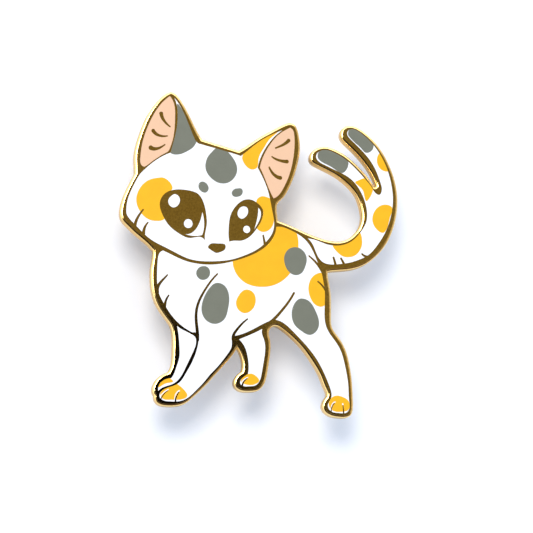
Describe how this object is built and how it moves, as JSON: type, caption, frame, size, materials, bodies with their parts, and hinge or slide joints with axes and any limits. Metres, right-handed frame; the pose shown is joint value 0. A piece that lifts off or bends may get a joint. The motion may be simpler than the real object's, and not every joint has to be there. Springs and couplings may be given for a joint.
{
  "type": "enamel pin",
  "caption": "Hard enamel pin shaped as a standing calico cat with a forked tail, with gold raised lines and butterfly clutches on its posts.",
  "frame": {"origin": "on the surface the badge lies on, below the middle of the plate's outline", "axes": "+Z out of the badge's face, +Y up the badge from the paws to the ears, +X to the viewer's right, the tail's side"},
  "size_m": [0.035, 0.0406, 0.0103],
  "materials": {
    "struck_gold": "gold plate over struck brass, polished on the raised lines and rim",
    "white_enamel": "hard enamel, ground level with the metal and polished",
    "pink_enamel": "hard enamel, ground level with the metal and polished",
    "grey_ink": "printed ink, satin",
    "orange_ink": "printed ink, satin",
    "post_gold": "gold plate, drawn wire",
    "clutch_brass": "plated spring brass, bright"
  },
  "bodies": {
    "badge": {"cat_plate": "struck_gold", "head_enamel_white": "white_enamel", "left_eye_glints_white": "white_enamel", "right_eye_glints_white": "white_enamel", "body_enamel_white": "white_enamel", "far_foreleg_enamel_white": "white_enamel", "far_hind_leg_enamel_white": "white_enamel", "tail_enamel_white": "white_enamel", "left_ear_enamel_pink": "pink_enamel", "right_ear_enamel_pink": "pink_enamel", "back_grey": "grey_ink", "chest_grey": "grey_ink", "forehead_grey": "grey_ink", "left_brow_grey": "grey_ink", "left_ear_back_grey": "grey_ink", "left_tail_tip_grey": "grey_ink", "right_brow_grey": "grey_ink", "right_tail_tip_grey": "grey_ink", "shoulder_grey": "grey_ink", "thigh_grey": "grey_ink", "back_orange": "orange_ink", "belly_orange": "orange_ink", "far_forepaw_orange": "orange_ink", "far_hind_paw_orange": "orange_ink", "left_cheek_orange": "orange_ink", "near_forepaw_orange": "orange_ink", "near_hind_paw_orange": "orange_ink", "right_cheek_orange": "orange_ink", "right_ear_orange": "orange_ink", "right_tail_orange": "orange_ink", "rump_orange": "orange_ink", "tail_fork_orange": "orange_ink", "tail_root_orange": "orange_ink", "tail_side_orange": "orange_ink", "upper_post": "post_gold", "lower_post": "post_gold"},
    "upper_cup": {"upper_clutch_cup": "clutch_brass"},
    "upper_clip": {"upper_clip_base": "clutch_brass"},
    "upper_right_wing": {"upper_wing_right": "clutch_brass"},
    "upper_left_wing": {"upper_wing_left": "clutch_brass"},
    "lower_cup": {"lower_clutch_cup": "clutch_brass"},
    "lower_clip": {"lower_clip_base": "clutch_brass"},
    "lower_right_wing": {"lower_wing_right": "clutch_brass"},
    "lower_left_wing": {"lower_wing_left": "clutch_brass"}
  },
  "joints": [
    {"name": "upper_clutch_slide", "type": "slide", "parent": "badge", "child": "upper_cup", "axis": [0, 0, -1], "range_m": [-0.0019, 0.012]},
    {"name": "upper_clutch_spin", "type": "hinge", "parent": "upper_cup", "child": "upper_clip", "pos_m": [-0.0082, 0.0078, 0.005], "axis": [0, 0, 1], "continuous": true},
    {"name": "upper_right_squeeze", "type": "hinge", "parent": "upper_clip", "child": "upper_right_wing", "pos_m": [-0.0058, 0.0078, 0.0047], "axis": [0, 1, 0], "range_deg": [0, 10], "stiffness_Nm_per_rad": 0.02},
    {"name": "upper_left_squeeze", "type": "hinge", "parent": "upper_clip", "child": "upper_left_wing", "pos_m": [-0.0106, 0.0078, 0.0047], "axis": [0, -1, 0], "range_deg": [0, 10], "stiffness_Nm_per_rad": 0.02},
    {"name": "lower_clutch_slide", "type": "slide", "parent": "badge", "child": "lower_cup", "axis": [0, 0, -1], "range_m": [-0.0019, 0.012]},
    {"name": "lower_clutch_spin", "type": "hinge", "parent": "lower_cup", "child": "lower_clip", "pos_m": [0.0014, -0.0024, 0.005], "axis": [0, 0, 1], "continuous": true},
    {"name": "lower_right_squeeze", "type": "hinge", "parent": "lower_clip", "child": "lower_right_wing", "pos_m": [0.0038, -0.0024, 0.0047], "axis": [0, 1, 0], "range_deg": [0, 10], "stiffness_Nm_per_rad": 0.02},
    {"name": "lower_left_squeeze", "type": "hinge", "parent": "lower_clip", "child": "lower_left_wing", "pos_m": [-0.001, -0.0024, 0.0047], "axis": [0, -1, 0], "range_deg": [0, 10], "stiffness_Nm_per_rad": 0.02}
  ],
  "couplings": [
    {"joint": "upper_left_squeeze", "follows": "upper_right_squeeze", "ratio": 1},
    {"joint": "lower_left_squeeze", "follows": "lower_right_squeeze", "ratio": 1}
  ]
}
